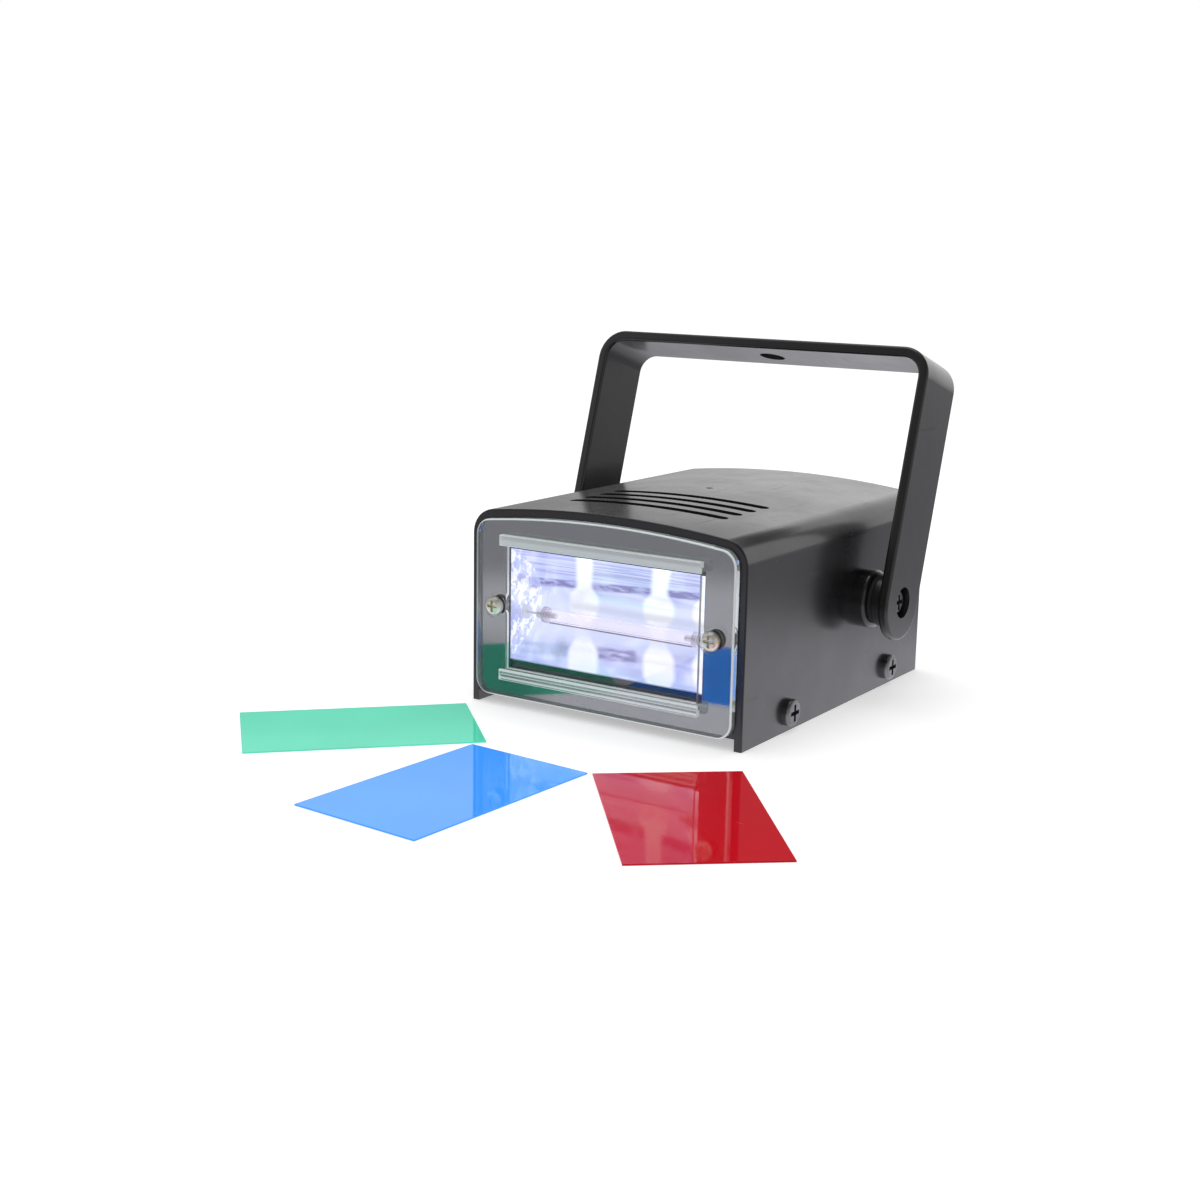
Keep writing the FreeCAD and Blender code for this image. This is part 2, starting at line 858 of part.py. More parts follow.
# Insulated leads
def wire_tube(points, radius):
    """A round wire along a route of straight runs joined by tangent arcs."""
    route = [V(*p) for p in points]
    edges = []
    start = route[0]
    for before, corner, after in zip(route, route[1:], route[2:]):
        back = before - corner
        ahead = after - corner
        reach = arc_share * min(back.Length, ahead.Length)
        back.normalize()
        ahead.normalize()
        arc_start = corner + back * reach
        arc_end = corner + ahead * reach
        middle = back + ahead
        middle.normalize()
        half_turn = (math.pi - back.getAngle(ahead)) / 2
        arc_radius = reach / math.tan(half_turn)
        depth = arc_radius / math.cos(half_turn) - arc_radius
        edges.append(Part.LineSegment(start, arc_start).toShape())
        edges.append(Part.Arc(arc_start, corner + middle * depth, arc_end).toShape())
        start = arc_end
    edges.append(Part.LineSegment(start, route[-1]).toShape())
    path = Part.Wire(edges)
    ring = Part.Wire([Part.makeCircle(radius, route[0], route[1] - route[0])])
    tube = path.makePipeShell([ring], True, False)
    share = tube.Volume / (math.pi * radius**2 * path.Length)
    print(f"wire volume over section times length: {share:.4f}")
    return tube


def board_place(shares):
    """The place on the board of a pair of shares, across from the middle and along."""
    return (shares[0] * 2 * board_half, board_along(shares[1]))


def board_along(share):
    return board_front_y + share * board_length


def make_tube_lead(side):
    """The lead from a tube pin, back past the reflector and down to its pad on the board."""
    pad_x = side * (board_half - lead_pad_inset)
    pad_y = board_along(lead_pad_along_share)
    start_x = side * pin_end
    turn_x = side * (pin_end + wire_run / 2)
    points = [
        (start_x, tube_y, tube_z),
        (turn_x, tube_y, tube_z),
        (turn_x, tube_y + 2 * wire_run, tube_z - wire_run / 2),
        (side * (pin_end - wire_run), trough_back + wire_run, (tube_z + tray_boss_top) / 2 + wire_run),
        (pad_x, (trough_back + pad_y) / 2 + wire_run, (tube_z + tray_boss_top) / 2),
        (pad_x, pad_y, tray_boss_top + 2 * wire_run),
        (pad_x, pad_y, board_top),
    ]
    return wire_tube(points, wire_radius)


def make_trigger_lead():
    """The lead from the trigger wire's leg, over the board, to the top of the coil."""
    coil_y = board_along(coil_along_share)
    top = board_top + coil_base + coil_height
    points = [
        (trigger_leg_x(), trough_back, tube_z),
        (trigger_leg_x(), trough_back + wire_run, tube_z),
        (coil_x, (trough_back + coil_y) / 2 + wire_run, tube_z + wire_run),
        (coil_x, coil_y, tube_z + wire_run),
        (coil_x, coil_y, top),
    ]
    return wire_tube(points, wire_radius)


# Circuit board and its components
def make_circuit_board():
    board = block(-board_half, board_half, board_front_y, board_rear_y, board_bottom, board_top)
    holes = [
        rod_z(board_screw_radius + panel_hole_gap, board_bottom - overrun, board_top + overrun, x, y)
        for x, y in standoff_places
    ]
    return board.cut(holes)


def legs(places, top):
    """Component legs that stand on the board, from its top face up to top."""
    return [rod_z(lead_radius, board_top, top, x, y) for x, y in places]


def make_flash_capacitor(shares):
    x, y = board_place(shares)
    neck = flash_cap_height - flash_cap_cap
    groove = flash_cap_radius - flash_cap_groove
    points = [
        (0, 0),
        (0, flash_cap_radius - flash_cap_groove),
        (flash_cap_groove, flash_cap_radius),
        (flash_cap_cap - flash_cap_groove, flash_cap_radius),
        (flash_cap_cap, groove),
        (flash_cap_cap + flash_cap_groove, flash_cap_radius),
        (neck + flash_cap_cap - flash_cap_groove, flash_cap_radius),
        (flash_cap_height, groove),
        (flash_cap_height, 0),
    ]
    return turned(points, V(x, y, board_top), Z_AXIS)


def make_film_capacitor(shares):
    x, y = board_place(shares)
    body = block(
        x - film_cap_length / 2,
        x + film_cap_length / 2,
        y - film_cap_width / 2,
        y + film_cap_width / 2,
        board_top,
        board_top + film_cap_height,
    )
    return body.makeFillet(rim_round, [e for e in body.Edges if e.BoundBox.ZLength > film_cap_width])


def make_power_resistor():
    x, y = board_place(resistor_shares)
    bottom = board_top + resistor_lift
    body = block(
        x - resistor_length / 2,
        x + resistor_length / 2,
        y - resistor_width / 2,
        y + resistor_width / 2,
        bottom,
        bottom + resistor_width,
    )
    reach = resistor_length / 2 - lead_foot
    return body.fuse(legs([(x - reach, y), (x + reach, y)], bottom)).removeSplitter()


def make_trigger_coil():
    top = coil_base + coil_height
    points = [
        (0, 0),
        (0, coil_cheek_radius),
        (coil_base, coil_cheek_radius),
        (coil_base, coil_radius),
        (top - coil_cheek, coil_radius),
        (top - coil_cheek, coil_cheek_radius),
        (top, coil_cheek_radius),
        (top, 0),
    ]
    return turned(points, V(coil_x, board_along(coil_along_share), board_top), Z_AXIS)


def make_trigger_capacitor():
    x = coil_x
    y = board_along(trigger_cap_along_share)
    body = block(
        x - trigger_cap_length / 2,
        x + trigger_cap_length / 2,
        y - trigger_cap_width / 2,
        y + trigger_cap_width / 2,
        board_top,
        board_top + trigger_cap_height,
    )
    return body.makeFillet(rim_round, [e for e in body.Edges if e.BoundBox.ZLength > trigger_cap_width])


def make_thyristor():
    x, y = board_place(thyristor_shares)
    low = board_top + thyristor_lift
    high = low + thyristor_body
    back = y + thyristor_thick / 2
    half = thyristor_width / 2
    body = block(x - half, x + half, y - thyristor_thick / 2, back, low, high)
    tab = block(x - half, x + half, back - thyristor_tab_thick, back, high, high + thyristor_tab)
    hole = rod_y(
        thyristor_hole_radius, y - thyristor_thick, back + overrun, x, high + thyristor_tab / 2
    )
    places = [(x + n * lead_foot, y) for n in (-1, 0, 1)]
    return body.fuse([tab] + legs(places, low)).cut(hole).removeSplitter()


def make_diode(n):
    """One of the rectifier diodes, lying along Y on its two bent leads."""
    x = board_half - diode_inset + (n - (diode_count - 1) / 2) * diode_pitch
    y = board_along(diode_along_share)
    z = board_top + diode_lift + diode_radius
    half = diode_length / 2
    reach = half + diode_reach
    body = rod_y(diode_radius, y - half, y + half, x, z)
    leads = rod_y(lead_radius, y - reach, y + reach, x, z)
    return body.fuse([leads] + legs([(x, y - reach), (x, y + reach)], z)).removeSplitter()


def make_fuse():
    x = board_half - fuse_inset
    y = board_along(fuse_along_share)
    z = board_top + fuse_lift + fuse_radius
    half = fuse_length / 2
    glass_radius = fuse_radius - fuse_cap_step
    points = [
        (-half, 0),
        (-half, fuse_radius),
        (-half + fuse_cap_length, fuse_radius),
        (-half + fuse_cap_length, glass_radius),
        (half - fuse_cap_length, glass_radius),
        (half - fuse_cap_length, fuse_radius),
        (half, fuse_radius),
        (half, 0),
    ]
    return turned(points, V(x, y, z), Y_AXIS)


def make_fuse_clip(end):
    """A spring clip that holds one end of the fuse. End is 1 for the rear, -1 for the front."""
    x = board_half - fuse_inset
    y = board_along(fuse_along_share) + end * (fuse_length - fuse_cap_length) / 2
    z = board_top + fuse_lift + fuse_radius
    inner = fuse_radius + thread_gap
    outer = inner + fuse_clip_thick
    start = y - fuse_clip_width / 2
    stop = y + fuse_clip_width / 2
    ring = rod_y(outer, start, stop, x, z)
    foot = block(x - lead_foot, x + lead_foot, start, stop, board_top, z - fuse_radius / 2)
    bore = rod_y(inner, start - overrun, stop + overrun, x, z)
    mouth = block(
        x - inner, x + inner, start - overrun, stop + overrun, z + inner / 2, z + outer + overrun
    )
    return ring.fuse(foot).cut([bore, mouth]).removeSplitter()


def make_terminal_block():
    x = terminal_x
    y = board_along(terminal_along_share)
    half = terminal_length / 2
    top = board_top + terminal_height
    body = block(
        x - half, x + half, y - terminal_width / 2, y + terminal_width / 2, board_top, top
    )
    cuts = []
    for place in (x - half / 2, x + half / 2):
        way_end = y + terminal_width / 2 + overrun
        cuts.append(rod_y(terminal_way_radius, y, way_end, place, board_top + terminal_height / 3))
        cuts.append(rod_z(terminal_screw_radius, top - terminal_screw_depth, top + overrun, place, y))
    return body.cut(cuts)


def make_terminal_screws():
    x = terminal_x
    y = board_along(terminal_along_share)
    top = board_top + terminal_height
    screws = []
    for place in (x - terminal_length / 4, x + terminal_length / 4):
        radius = terminal_screw_radius - thread_gap
        low = top - terminal_screw_depth
        screw = rod_z(radius, low, top - terminal_screw_depth / 3, place, y)
        driver_slot = block(
            place - radius,
            place + radius,
            y - lead_radius / 2,
            y + lead_radius / 2,
            top - terminal_screw_depth / 2,
            top,
        )
        screws.append(screw.cut(driver_slot))
    return screws


# Speed control
def make_potentiometer():
    """The control's body, its threaded bush through the rear panel and its three legs."""
    x = knob_x
    y = rear_panel_front
    body = rod_y(pot_radius, y - pot_depth, y, x, knob_height)
    bush = rod_y(pot_bush_radius, y - pot_depth / 2, y + pot_bush_length, x, knob_height)
    leg_y = y - pot_depth / 2
    pins = [
        rod_z(pot_pin_radius, board_top, knob_height, x + n * pot_pin_pitch, leg_y)
        for n in (-1, 0, 1)
        if leg_y < board_rear_y
    ]
    bore = rod_y(
        pot_shaft_radius + running_gap, y - pot_depth / 2, y + pot_bush_length + overrun, x, knob_height
    )
    return body.fuse([bush] + pins).cut(bore).removeSplitter()


def make_potentiometer_nut():
    start = rear_panel_back + pot_washer
    nut = hexagon(pot_nut_flats, pot_nut)
    nut = nut.cut(Part.makeCylinder(pot_bush_radius + thread_gap, pot_nut + overrun))
    return aimed(nut, V(knob_x, start, knob_height), Y_AXIS)


def make_potentiometer_washer():
    outer = rod_y(pot_washer_radius, rear_panel_back, rear_panel_back + pot_washer, knob_x, knob_height)
    inner = rod_y(
        pot_bush_radius + thread_gap,
        rear_panel_back - overrun,
        rear_panel_back + pot_washer + overrun,
        knob_x,
        knob_height,
    )
    return outer.cut(inner)


def make_potentiometer_shaft():
    start = rear_panel_front - pot_depth / 2 + running_gap
    return rod_y(pot_shaft_radius, start, shaft_end, knob_x, knob_height)


def make_speed_knob():
    """A fluted knob with a skirt, a pointer groove and a hollow for the bush and nut."""
    grip = Part.makeCylinder(knob_radius, knob_length)
    grip = grip.makeFillet(knob_round, edges_on_plane(grip, 2, knob_length))
    skirt = Part.makeCylinder(knob_radius + knob_skirt_step, knob_skirt)
    cuts = []
    for n in range(knob_flutes):
        turn = math.radians(360 * (n + 0.5) / knob_flutes)
        centre = V(knob_radius * math.cos(turn), knob_radius * math.sin(turn), knob_skirt)
        cuts.append(Part.makeCylinder(knob_flute_radius, knob_length, centre))
    hollow = Part.makeCylinder(
        pot_nut_flats / math.sqrt(3) + thread_gap + knob_gap,
        rear_panel_front + pot_bush_length - knob_base + knob_gap,
    )
    socket = Part.makeCylinder(pot_shaft_radius + thread_gap, shaft_end - knob_base + thread_gap)
    pointer = block(
        -knob_radius - knob_skirt_step - overrun,
        -knob_radius / 4,
        -knob_pointer_width / 2,
        knob_pointer_width / 2,
        knob_length - knob_pointer_depth,
        knob_length + overrun,
    )
    knob = grip.fuse(skirt).cut(cuts + [hollow, socket, pointer]).removeSplitter()
    knob.rotate(V(0, 0, 0), Z_AXIS, 90)
    return aimed(knob, V(knob_x, knob_base, knob_height), Y_AXIS)


def make_cable_gland():
    """The cable gland in the rear panel: collar inside, flange and nose outside."""
    points = [
        (rear_panel_front - gland_collar, gland_bore),
        (rear_panel_front - gland_collar, gland_neck),
        (rear_panel_front, gland_collar_radius),
        (rear_panel_front, gland_neck),
        (rear_panel_back, gland_neck),
        (rear_panel_back, gland_flange_radius),
        (rear_panel_back + gland_flange, gland_flange_radius - gland_flange / 4),
        (rear_panel_back + gland_flange, gland_nose_radius),
        (rear_panel_back + gland_flange + gland_nose, gland_nose_radius - gland_nose / 4),
        (rear_panel_back + gland_flange + gland_nose, gland_bore),
    ]
    return turned(points, V(gland_x, 0, gland_height), Y_AXIS)


# Bracket and pivots
def make_bracket():
    """The strap bracket, modelled upright about its pivot axis and then tilted to the rear."""
    half = strap_width / 2
    inner_bend = strap_bend - strap_thick
    strap = rounded_arch(arm_outer, bracket_arm, strap_bend)
    strap = strap.cut(rounded_arch(arm_inner, bracket_arm - strap_thick, inner_bend))
    strap = strap.extrude(V(0, strap_width, 0))
    strap.translate(V(0, -half, 0))
    ends = both_sides(rod_x(half, arm_inner, arm_outer, 0, 0))
    hang_hole = rod_z(hang_hole_radius, bracket_arm - strap_thick - overrun, bracket_arm + overrun, 0, 0)
    strap = strap.fuse(ends).removeSplitter()
    strap = strap.makeFillet(strap_round, strap_rims(strap))
    boss = Part.makeCylinder(arm_boss_radius, arm_boss_height + strap_thick / 2)
    boss = boss.makeFillet(
        arm_boss_round, edges_on_plane(boss, 2, arm_boss_height + strap_thick / 2)
    )
    boss = aimed(boss, V(arm_inner + strap_thick / 2, 0, 0), -X_AXIS)
    cuts = both_sides(rod_x(counterbore_radius, counterbore_floor, arm_outer + overrun, 0, 0))
    cuts += both_sides(
        rod_x(pivot_screw_radius + running_gap, arm_boss_face - overrun, arm_outer, 0, 0)
    )
    bracket = strap.fuse(both_sides(boss)).cut(cuts + [hang_hole]).removeSplitter()
    bracket.rotate(V(0, 0, 0), X_AXIS, -bracket_angle)
    bracket.translate(V(0, pivot_y, pivot_height))
    return bracket


def rounded_arch(half, top, bend):
    """A face in the XZ plane: a gate of that half width and height, with rounded top corners."""
    foot = bend * (1 - math.sqrt(0.5))
    edges = [
        Part.LineSegment(V(half, 0, 0), V(half, 0, top - bend)).toShape(),
        Part.Arc(
            V(half, 0, top - bend), V(half - foot, 0, top - foot), V(half - bend, 0, top)
        ).toShape(),
        Part.LineSegment(V(half - bend, 0, top), V(bend - half, 0, top)).toShape(),
        Part.Arc(
            V(bend - half, 0, top), V(foot - half, 0, top - foot), V(-half, 0, top - bend)
        ).toShape(),
        Part.LineSegment(V(-half, 0, top - bend), V(-half, 0, 0)).toShape(),
        Part.LineSegment(V(-half, 0, 0), V(half, 0, 0)).toShape(),
    ]
    return Part.Face(Part.Wire(edges))


def strap_rims(strap):
    """The strap's long edges: all but the ones that cross it from front to rear."""
    return [
        e
        for e in strap.Edges
        if e.BoundBox.YLength < strap_width / 2 or e.BoundBox.ZLength > strap_round
    ]


def make_friction_washer():
    outer = rod_x(friction_washer_radius, boss_face, arm_boss_face, pivot_y, pivot_height)
    inner = rod_x(
        pivot_screw_radius + thread_gap,
        boss_face - overrun,
        arm_boss_face + overrun,
        pivot_y,
        pivot_height,
    )
    return outer.cut(inner)


def make_pivot_screw():
    length = counterbore_floor - pivot_nut_inner + pivot_screw_past_nut
    screw = cross_screw(pivot_screw_head_radius, pivot_screw_head, pivot_screw_radius, length)
    return aimed(screw, V(counterbore_floor, pivot_y, pivot_height), X_AXIS)


def make_pivot_nut():
    nut = hexagon(pivot_nut_flats, pivot_nut)
    nut = nut.cut(Part.makeCylinder(pivot_screw_radius + thread_gap, pivot_nut + overrun))
    return aimed(nut, V(pivot_nut_inner, pivot_y, pivot_height), X_AXIS)


def make_pivot_washer():
    start = inner_half - pivot_washer
    outer = rod_x(pivot_washer_radius, start, inner_half, pivot_y, pivot_height)
    inner = rod_x(
        pivot_screw_radius + thread_gap, start - overrun, inner_half + overrun, pivot_y, pivot_height
    )
    return outer.cut(inner)


# Screws in place
def domed_screw(length):
    """A screw of the kind that holds the two panels."""
    return cross_screw(
        panel_screw_head_radius,
        panel_screw_head,
        panel_screw_radius,
        length,
        panel_head_round_share,
    )


def make_panel_screw():
    length = frame_back - screw_seat_y + panel_screw_bite
    return aimed(domed_screw(length), V(panel_screw_x, screw_seat_y, window_middle), -Y_AXIS)


def make_rear_screw():
    screw = domed_screw(rear_thick + rear_screw_bite)
    return aimed(screw, V(rear_screw_x, rear_panel_back, pivot_height), Y_AXIS)


def make_side_screws():
    screws = []
    for y in side_screw_places:
        length = side_screw_length
        screw = cross_screw(side_screw_head_radius, side_screw_head, side_screw_radius, length)
        screws += both_sides(aimed(screw, V(half_width, y, side_screw_height), X_AXIS))
    return screws


def make_board_screws():
    screws = []
    for x, y in standoff_places:
        screw = cross_screw(
            board_screw_head_radius, board_screw_head, board_screw_radius, board_screw_length
        )
        screws.append(aimed(screw, V(x, y, board_top), Z_AXIS))
    return screws


# Colour filters
def leaning(angle):
    """The unit vector along X turned by angle, in degrees, about Z."""
    return V(math.cos(math.radians(angle)), math.sin(math.radians(angle)), 0)


def make_filter(corner, angle, along, across):
    """A loose filter on the table. Its long side lies at angle, and corner is one of its corners.

    Along and across are 1 or -1, and say which way the filter lies from that corner."""
    x0, x1 = sorted((0, along * filter_length))
    y0, y1 = sorted((0, across * filter_height))
    sheet = block(x0, x1, y0, y1, 0, filter_thick)
    sheet.rotate(V(0, 0, 0), Z_AXIS, angle)
    sheet.translate(corner)
    return sheet


def make_filters():
    """The blue filter lies end-on to the case, with the green one to its left and the red one
    to its right."""
    near = V(blue_near_x, front - blue_near_distance, 0)
    half_edge = leaning(blue_angle + 90) * (filter_height / 2)
    left = near + half_edge
    right = near - half_edge
    blue = make_filter(left, blue_angle, -1, -1)
    green = make_filter(left + V(green_corner_x, green_corner_y, 0), green_angle, -1, 1)
    red = make_filter(right + V(red_corner_x, red_corner_y, 0), red_angle, 1, 1)
    return green, blue, red


def make_all():
    os.makedirs("parts", exist_ok=True)
    save("casing_cover", [make_casing_cover()])
    save("base_tray", [make_base_tray()])
    save("rear_panel", [make_rear_panel()])
    save("front_panel", [make_front_panel()])
    save("face_plate", [make_face_plate()])
    save("reflector_frame", [make_reflector_frame()])
    save("reflector", [make_reflector()])

    save("flash_tube", [make_flash_tube()])
    save("tube_anode", [make_electrode()])
    save("tube_cathode", [mirrored(make_electrode())])
    save("tube_grommets", both_sides(make_grommet()))
    save("trigger_wire", [make_trigger_wire()])
    save("anode_lead", [make_tube_lead(1)])
    save("cathode_lead", [make_tube_lead(-1)])
    save("trigger_lead", [make_trigger_lead()])

    save("circuit_board", [make_circuit_board()])
    save("flash_capacitor_left", [make_flash_capacitor(flash_cap_shares[0])])
    save("flash_capacitor_right", [make_flash_capacitor(flash_cap_shares[1])])
    save("film_capacitors", [make_film_capacitor(s) for s in film_cap_shares])
    save("power_resistor", [make_power_resistor()])
    save("trigger_coil", [make_trigger_coil()])
    save("trigger_capacitor", [make_trigger_capacitor()])
    save("thyristor", [make_thyristor()])
    save("rectifier_diodes", [make_diode(n) for n in range(diode_count)])
    save("fuse", [make_fuse()])
    save("fuse_clips", [make_fuse_clip(1), make_fuse_clip(-1)])
    save("terminal_block", [make_terminal_block()])
    save("terminal_screws", make_terminal_screws())

    save("potentiometer", [make_potentiometer()])
    save("potentiometer_nut", [make_potentiometer_nut()])
    save("potentiometer_washer", [make_potentiometer_washer()])
    save("potentiometer_shaft", [make_potentiometer_shaft()])
    save("speed_knob", [make_speed_knob()])
    save("cable_gland", [make_cable_gland()])

    save("bracket", [make_bracket()])
    save("friction_washers", both_sides(make_friction_washer()))
    save("pivot_screws", both_sides(make_pivot_screw()))
    save("pivot_nuts", both_sides(make_pivot_nut()))
    save("pivot_washers", both_sides(make_pivot_washer()))

    save("panel_screws", both_sides(make_panel_screw()))
    save("rear_screws", both_sides(make_rear_screw()))
    save("side_screws", make_side_screws())
    save("board_screws", make_board_screws())

    for colour, sheet in zip(("green", "blue", "red"), make_filters()):
        save(f"filter_{colour}", [sheet])


make_all()
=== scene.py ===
import json
import math

import bpy
from mathutils import Matrix, Vector


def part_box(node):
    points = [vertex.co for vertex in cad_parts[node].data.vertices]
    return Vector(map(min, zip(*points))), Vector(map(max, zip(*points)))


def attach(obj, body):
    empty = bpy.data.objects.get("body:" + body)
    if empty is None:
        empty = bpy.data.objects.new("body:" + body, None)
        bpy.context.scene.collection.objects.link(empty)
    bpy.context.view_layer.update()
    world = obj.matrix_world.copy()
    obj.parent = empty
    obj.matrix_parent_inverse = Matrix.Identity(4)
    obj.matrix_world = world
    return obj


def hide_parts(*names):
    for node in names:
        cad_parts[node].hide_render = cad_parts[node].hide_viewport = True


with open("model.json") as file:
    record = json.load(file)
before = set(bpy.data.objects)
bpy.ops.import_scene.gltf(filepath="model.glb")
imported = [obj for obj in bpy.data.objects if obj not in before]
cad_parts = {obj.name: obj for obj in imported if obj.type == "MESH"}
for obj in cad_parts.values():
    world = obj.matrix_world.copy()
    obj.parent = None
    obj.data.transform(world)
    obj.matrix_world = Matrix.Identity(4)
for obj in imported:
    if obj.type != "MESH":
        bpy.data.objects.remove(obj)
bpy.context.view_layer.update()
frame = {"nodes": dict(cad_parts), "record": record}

MM = 0.001

# The camera stands where the photograph was taken from, in degrees and millimetres
CAMERA_AZIMUTH = 33.524
CAMERA_ELEVATION = 12.081
CAMERA_ROLL = 1.059
CAMERA_DISTANCE = 440.633
CAMERA_TARGET = (40.888, -125.079, 54.82)
CAMERA_LENS = 51.802
SENSOR = 36.0


# Node trees
class Nodes:
    """A node tree. Sizes are in millimetres."""

    def __init__(self, tree):
        self.tree = tree

    def node(self, kind, **settings):
        made = self.tree.nodes.new(kind)
        for key, value in settings.items():
            setattr(made, key, value)
        return made

    def link(self, source, target):
        self.tree.links.new(source, target)

    def between(self, value, low, high, out_low=0.0, out_high=1.0):
        """Value from low to high, turned smoothly into out_low to out_high and held there."""
        made = self.node("ShaderNodeMapRange", interpolation_type="SMOOTHSTEP")
        made.inputs["From Min"].default_value = low
        made.inputs["From Max"].default_value = high
        made.inputs["To Min"].default_value = out_low
        made.inputs["To Max"].default_value = out_high
        self.link(value, made.inputs["Value"])
        return made.outputs["Result"]

    def fade(self, value, reach, levels=(0.0, 1.0)):
        """Value over a reach in millimetres, turned into levels as between does."""
        return self.between(value, reach[0] * MM, reach[1] * MM, *levels)

    def math(self, operation, first, second=0.0):
        made = self.node("ShaderNodeMath", operation=operation)
        for socket, value in zip(made.inputs, (first, second)):
            if isinstance(value, (int, float)):
                socket.default_value = value
            else:
                self.link(value, socket)
        return made.outputs["Value"]

    def mixed(self, share, first, second):
        """First and second, which are colours or outputs, mixed by share."""
        made = self.node("ShaderNodeMix", data_type="RGBA")
        self.link(share, made.inputs["Factor"])
        for socket, value in zip((made.inputs[6], made.inputs[7]), (first, second)):
            if isinstance(value, tuple):
                socket.default_value = (*value, 1.0)
            else:
                self.link(value, socket)
        return made.outputs[2]

    def tinted(self, value, colour):
        """The colour, scaled by value."""
        made = self.node("ShaderNodeVectorMath", operation="SCALE")
        made.inputs[0].default_value = colour
        self.link(value, made.inputs["Scale"])
        return made.outputs["Vector"]

    def split(self, vector):
        made = self.node("ShaderNodeSeparateXYZ")
        self.link(vector, made.inputs["Vector"])
        return made.outputs

    def along(self, vector, direction):
        """How far the vector reaches along a direction, which needn't be of length 1."""
        made = self.node("ShaderNodeVectorMath", operation="DOT_PRODUCT")
        self.link(vector, made.inputs[0])
        made.inputs[1].default_value = Vector(direction).normalized()
        return made.outputs["Value"]

    def near(self, value, places, reach, spread=0.0):
        """1 within the first reach of any of the places, in millimetres, and 0 past the second."""
        found = None
        for place in places:
            away = self.math("ABSOLUTE", self.math("SUBTRACT", value, place * MM))
            share = self.fade(self.math("SUBTRACT", away, spread), reach[::-1])
            found = self.math("MAXIMUM", found, share) if found else share
        return found

    def rays(self):
        return self.node("ShaderNodeLightPath").outputs


class Shader(Nodes):
    """A procedural material around one Principled shader."""

    def __init__(self, name, **values):
        self.material = bpy.data.materials.new(name)
        self.material.use_nodes = True
        super().__init__(self.material.node_tree)
        self.surface = self.tree.nodes["Principled BSDF"]
        coordinates = self.node("ShaderNodeTexCoord")
        self.place = coordinates.outputs["Object"]
        self.facing = coordinates.outputs["Normal"]
        for key, value in values.items():
            self.surface.inputs[key.replace("_", " ")].default_value = value

    def stretched(self, stretch):
        """The place, in units of the given lengths along X, Y and Z."""
        mapping = self.node("ShaderNodeMapping")
        mapping.inputs["Scale"].default_value = [1 / (s * MM) for s in stretch]
        self.link(self.place, mapping.inputs["Vector"])
        return mapping.outputs["Vector"]

    def noise(self, size, detail=3.0, rough=0.5):
        """Noise with features of about that size, the same or different along X, Y and Z."""
        stretch = size if isinstance(size, tuple) else (size, size, size)
        made = self.node("ShaderNodeTexNoise")
        made.inputs["Scale"].default_value = 1.0
        made.inputs["Detail"].default_value = detail
        made.inputs["Roughness"].default_value = rough
        self.link(self.stretched(stretch), made.inputs["Vector"])
        return made.outputs["Fac"]

    def spots(self, size, radius_share):
        """1 in round spots on a grid of that size, else 0."""
        made = self.node("ShaderNodeTexVoronoi")
        made.inputs["Scale"].default_value = 1.0
        self.link(self.stretched((size, size, size)), made.inputs["Vector"])
        return self.between(made.outputs["Distance"], radius_share, 0.6 * radius_share)

    def squarely(self, axis):
        """How squarely the surface faces along an axis of the part, from 0 to 1."""
        return self.math("ABSOLUTE", self.split(self.facing)[axis])

    def handling_marks(self):
        """1 in faint upright marks, else 0."""
        return self.between(self.noise((2.0, 2.0, 24.0), 3.0), 0.62, 0.8)

    def set(self, name, output):
        self.link(output, self.surface.inputs[name])

    def bump(self, *layers):
        """Bump layers, each an output and its height in millimetres, on the surface and its coat."""
        normal = None
        for output, height in layers:
            made = self.node("ShaderNodeBump")
            made.inputs["Distance"].default_value = height * MM
            self.link(output, made.inputs["Height"])
            if normal:
                self.link(normal, made.inputs["Normal"])
            normal = made.outputs["Normal"]
        self.set("Normal", normal)
        if self.surface.inputs["Coat Weight"].default_value:
            self.set("Coat Normal", normal)


# Materials
PLASTIC_IOR = 1.4
PLASTIC_COAT = 0.85
SINK_MARKS = 0.015
MOTTLING = 0.01
BRUSHING = 0.003
DUST = (0.13, 0.13, 0.13)


def moulded_black(name, base, rough, coat_rough=0.17, grain=0.0012):
    """Black moulded plastic with a fine grain, slight sink marks, scratches and dust."""
    made = Shader(
        name,
        IOR=PLASTIC_IOR,
        Coat_Weight=PLASTIC_COAT,
        Coat_Roughness=coat_rough,
        Coat_IOR=PLASTIC_IOR,
    )
    smudge = made.noise(26.0, 4.0, 0.6)
    scratch = made.between(made.noise((1.2, 34.0, 5.0), 2.0), 0.66, 0.72)
    dust = made.spots(7.0, 0.045)
    lighter = tuple(c * 2.0 + 0.010 for c in base)
    worn = made.mixed(made.math("MULTIPLY", scratch, 0.25), base, lighter)
    made.set("Base Color", made.mixed(made.math("MULTIPLY", dust, 0.3), worn, DUST))
    spread = made.between(smudge, 0.3, 0.7, rough - 0.05, rough + 0.08)
    made.set("Roughness", made.math("ADD", spread, made.math("MULTIPLY", scratch, 0.12)))
    made.bump((made.noise(38.0, 1.0), SINK_MARKS), (made.noise(0.35, 2.0), grain))
    return made.material


def metal(name, base, rough, tint=None):
    """Finely brushed metal with patches of a second tone."""
    made = Shader(name, Metallic=1.0)
    patch = made.noise(9.0, 4.0, 0.6)
    other = tint or tuple(c * 0.82 for c in base)
    made.set("Base Color", made.mixed(made.between(patch, 0.35, 0.7), base, other))
    made.set("Roughness", made.between(patch, 0.3, 0.75, rough * 0.8, rough * 1.3))
    made.bump((made.noise(0.5, 2.0), BRUSHING))
    return made.material


